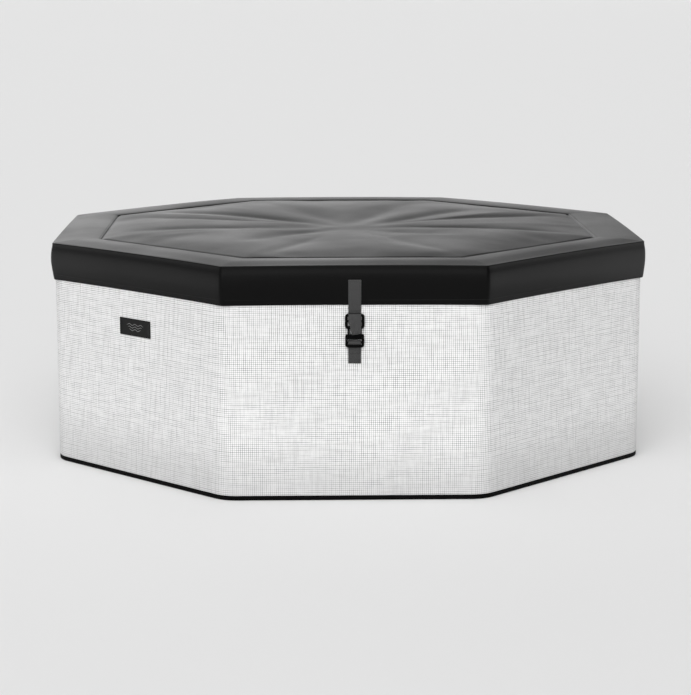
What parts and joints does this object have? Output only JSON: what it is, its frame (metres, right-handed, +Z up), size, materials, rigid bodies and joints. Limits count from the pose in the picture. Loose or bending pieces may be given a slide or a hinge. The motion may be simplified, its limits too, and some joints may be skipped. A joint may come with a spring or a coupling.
{
  "type": "inflatable hot tub",
  "caption": "Eight-sided inflatable hot tub with a woven jacket, a strapped insulated lid, a filtered pump unit behind a rear hatch, and a bubbling basin.",
  "frame": {"origin": "middle of the underside, on the floor", "axes": "+Z up, the front face looks along -Y, the equipment bay is at +Y"},
  "size_m": [1.8782, 1.8782, 0.7],
  "materials": {
    "jacket": "white woven textile jacket with thin grey gaps between the yarns",
    "base": "black foam-backed base mat",
    "lid_vinyl": "black vinyl, softly wrinkled, satin",
    "pvc": "grey drop-stitch PVC",
    "liner": "pale grey smooth PVC liner",
    "foam": "closed-cell foam",
    "foil": "insulating foil-faced sheet",
    "webbing": "dark grey woven polyester webbing",
    "buckle": "black acetal, semi-gloss",
    "housing": "dark grey moulded plastic, fine texture",
    "fitting": "mid grey moulded plastic",
    "label": "blank black printed patch",
    "motor": "blue-grey painted motor shell",
    "steel": "stainless steel",
    "hose": "grey flexible hose",
    "paper": "pleated filter paper",
    "lens": "dark display window"
  },
  "bodies": {
    "tub": {"base_pad": "base", "air_wall": "pvc", "outer_jacket": "jacket", "tub_liner": "liner", "floor_cushion": "liner", "bubble_ring": "liner", "label_patch": "label", "air_valve_body": "fitting", "drain_fitting": "fitting", "unit_casing": "housing", "hatch_hinge_pin": "steel", "pump_volute": "housing", "pump_motor": "motor", "heater_tube": "steel", "blower_housing": "housing", "air_hose": "hose", "suction_pipe": "hose", "pressure_pipe": "hose", "return_pipe": "hose", "control_box": "housing", "power_gland": "buckle", "filter_housing": "fitting", "return_nozzle": "fitting", "control_panel": "housing", "display_lens": "lens"},
    "lid": {"lid_cover": "lid_vinyl", "lid_border_foam": "foam", "lid_bladder": "pvc", "lid_bladder_valve": "fitting", "lid_base_sheet": "foil"},
    "air_valve_cap": {"air_valve_cap": "fitting"},
    "air_valve_pin": {"air_valve_pin": "fitting"},
    "drain_cap": {"drain_cap": "fitting"},
    "hatch": {"service_hatch": "housing"},
    "hatch_knob": {"hatch_knob": "buckle"},
    "impeller": {"pump_impeller": "fitting"},
    "fan": {"blower_fan": "fitting"},
    "cartridge": {"filter_cartridge": "paper"},
    "filter_cap": {"filter_cap": "fitting"},
    "eyeball": {"return_eyeball": "fitting"},
    "button_1": {"panel_button_1": "fitting"},
    "button_2": {"panel_button_2": "fitting"},
    "button_3": {"panel_button_3": "fitting"},
    "button_4": {"panel_button_4": "fitting"},
    "front_lid_strap": {"front_strap": "webbing", "front_buckle_plug": "buckle"},
    "front_tub_strap": {"front_anchor_strap": "webbing", "front_buckle_socket": "buckle"},
    "right_lid_strap": {"right_strap": "webbing", "right_buckle_plug": "buckle"},
    "right_tub_strap": {"right_anchor_strap": "webbing", "right_buckle_socket": "buckle"},
    "back_lid_strap": {"back_strap": "webbing", "back_buckle_plug": "buckle"},
    "back_tub_strap": {"back_anchor_strap": "webbing", "back_buckle_socket": "buckle"},
    "left_lid_strap": {"left_strap": "webbing", "left_buckle_plug": "buckle"},
    "left_tub_strap": {"left_anchor_strap": "webbing", "left_buckle_socket": "buckle"}
  },
  "joints": [
    {"name": "lid_lift", "type": "slide", "parent": "tub", "child": "lid", "axis": [0, 0, 1], "range_m": [0, 0.75]},
    {"name": "hatch_swing", "type": "hinge", "parent": "tub", "child": "hatch", "pos_m": [-0.214, 0.9332, 0.225], "axis": [0, 0, 1], "range_deg": [0, 110]},
    {"name": "hatch_knob_turn", "type": "hinge", "parent": "hatch", "child": "hatch_knob", "pos_m": [0.178, 0.93, 0.225], "axis": [0, 1, 0], "range_deg": [0, 90]},
    {"name": "air_cap_turn", "type": "hinge", "parent": "tub", "child": "air_valve_cap", "pos_m": [0.285, 0.93, 0.23], "axis": [0, 1, 0], "range_deg": [0, 90]},
    {"name": "air_pin_push", "type": "slide", "parent": "tub", "child": "air_valve_pin", "axis": [0, -1, 0], "range_m": [0, 0.006], "stiffness_N_per_m": 200},
    {"name": "drain_cap_turn", "type": "hinge", "parent": "tub", "child": "drain_cap", "pos_m": [-0.285, 0.93, 0.062], "axis": [0, 1, 0], "range_deg": [0, 360]},
    {"name": "impeller_spin", "type": "hinge", "parent": "tub", "child": "impeller", "pos_m": [-0.142, 0.835, 0.1], "axis": [1, 0, 0], "continuous": true},
    {"name": "fan_spin", "type": "hinge", "parent": "tub", "child": "fan", "pos_m": [0.1, 0.835, 0.092], "axis": [1, 0, 0], "continuous": true},
    {"name": "cartridge_pull", "type": "slide", "parent": "tub", "child": "cartridge", "axis": [0, -1, 0], "range_m": [0, 0.16]},
    {"name": "filter_cap_turn", "type": "hinge", "parent": "cartridge", "child": "filter_cap", "pos_m": [-0.12, 0.742, 0.28], "axis": [0, 1, 0], "range_deg": [0, 45]},
    {"name": "eyeball_tilt", "type": "hinge", "parent": "tub", "child": "eyeball", "pos_m": [0.12, 0.744, 0.28], "axis": [1, 0, 0], "range_deg": [-20, 20]},
    {"name": "button_1_press", "type": "slide", "parent": "tub", "child": "button_1", "axis": [0, 0, -1], "range_m": [0, 0.0012], "stiffness_N_per_m": 300},
    {"name": "button_2_press", "type": "slide", "parent": "tub", "child": "button_2", "axis": [0, 0, -1], "range_m": [0, 0.0012], "stiffness_N_per_m": 300},
    {"name": "button_3_press", "type": "slide", "parent": "tub", "child": "button_3", "axis": [0, 0, -1], "range_m": [0, 0.0012], "stiffness_N_per_m": 300},
    {"name": "button_4_press", "type": "slide", "parent": "tub", "child": "button_4", "axis": [0, 0, -1], "range_m": [0, 0.0012], "stiffness_N_per_m": 300},
    {"name": "front_buckle_open", "type": "hinge", "parent": "tub", "child": "front_tub_strap", "pos_m": [0, -0.9277, 0.409], "axis": [1, 0, 0], "range_deg": [0, 160]},
    {"name": "front_strap_swing", "type": "hinge", "parent": "lid", "child": "front_lid_strap", "pos_m": [0, -0.9343, 0.655], "axis": [-1, 0, 0], "range_deg": [0, 57]},
    {"name": "right_buckle_open", "type": "hinge", "parent": "tub", "child": "right_tub_strap", "pos_m": [0.9277, 0, 0.409], "axis": [0, 1, 0], "range_deg": [0, 160]},
    {"name": "right_strap_swing", "type": "hinge", "parent": "lid", "child": "right_lid_strap", "pos_m": [0.9343, 0, 0.655], "axis": [0, -1, 0], "range_deg": [0, 57]},
    {"name": "back_buckle_open", "type": "hinge", "parent": "tub", "child": "back_tub_strap", "pos_m": [0, 0.9277, 0.409], "axis": [-1, 0, 0], "range_deg": [0, 160]},
    {"name": "back_strap_swing", "type": "hinge", "parent": "lid", "child": "back_lid_strap", "pos_m": [0, 0.9343, 0.655], "axis": [1, 0, 0], "range_deg": [0, 57]},
    {"name": "left_buckle_open", "type": "hinge", "parent": "tub", "child": "left_tub_strap", "pos_m": [-0.9277, 0, 0.409], "axis": [0, -1, 0], "range_deg": [0, 160]},
    {"name": "left_strap_swing", "type": "hinge", "parent": "lid", "child": "left_lid_strap", "pos_m": [-0.9343, 0, 0.655], "axis": [0, 1, 0], "range_deg": [0, 57]}
  ],
  "couplings": [
    {"joint": "front_strap_swing", "follows": "front_buckle_open", "ratio": 0.35},
    {"joint": "right_strap_swing", "follows": "right_buckle_open", "ratio": 0.35},
    {"joint": "back_strap_swing", "follows": "back_buckle_open", "ratio": 0.35},
    {"joint": "left_strap_swing", "follows": "left_buckle_open", "ratio": 0.35}
  ]
}
